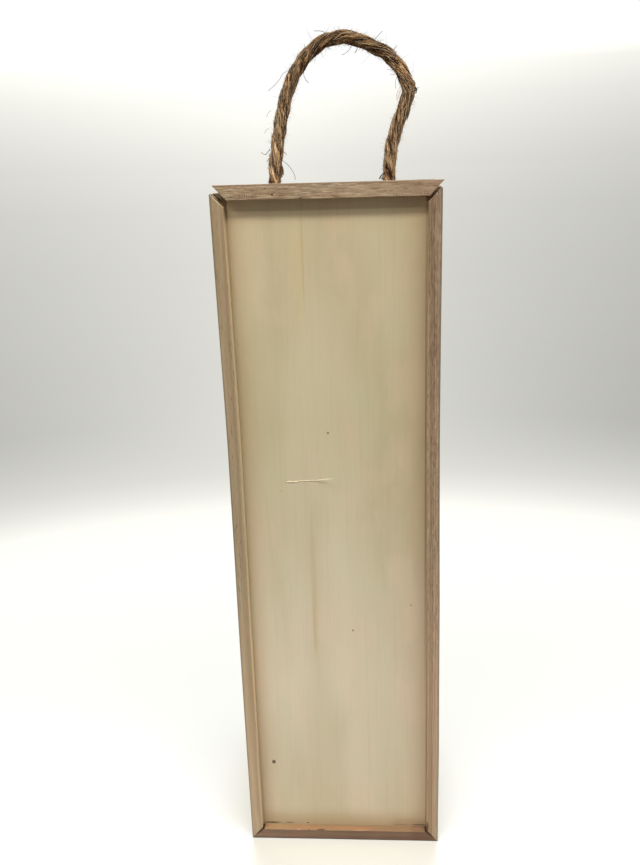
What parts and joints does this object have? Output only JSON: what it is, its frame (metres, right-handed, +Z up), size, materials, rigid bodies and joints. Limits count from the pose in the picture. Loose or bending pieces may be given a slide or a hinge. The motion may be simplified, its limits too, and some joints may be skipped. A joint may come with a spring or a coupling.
{
  "type": "wooden bottle holder",
  "caption": "Tall mitred wooden box for a wine bottle, with a plywood lid that slides up in grooves at the front and a twisted rope handle knotted through the top.",
  "frame": {"origin": "middle of the foot, where the box stands", "axes": "+Z up, -Y towards the sliding lid, +X to the right as the lid is faced"},
  "size_m": [0.105, 0.1, 0.4282],
  "materials": {
    "frame_wood": "bare sanded solid wood, grey-brown",
    "base_wood": "bare sanded solid wood, darker",
    "plywood": "bare pale plywood, grain upright",
    "jute_rope": "three-strand twisted jute with loose fibres",
    "brad_steel": "bright wire brads"
  },
  "bodies": {
    "box": {"left_wall": "frame_wood", "right_wall": "frame_wood", "base_wall": "base_wood", "top_wall": "frame_wood", "back_panel": "plywood", "left_rope_neck": "jute_rope", "right_rope_neck": "jute_rope", "left_knot": "jute_rope", "right_knot": "jute_rope", "corner_pins": "brad_steel"},
    "lid": {"lid_panel": "plywood", "lid_rail": "frame_wood", "rail_pins": "brad_steel"},
    "handle": {"rope_loop": "jute_rope"}
  },
  "joints": [
    {"name": "lid_slide", "type": "slide", "parent": "box", "child": "lid", "axis": [0, 0, 1], "range_m": [0, 0.375]},
    {"name": "handle_fold", "type": "hinge", "parent": "box", "child": "handle", "pos_m": [0, 0, 0.35825], "axis": [1, 0, 0], "range_deg": [-80, 80], "stiffness_Nm_per_rad": 0.01}
  ]
}
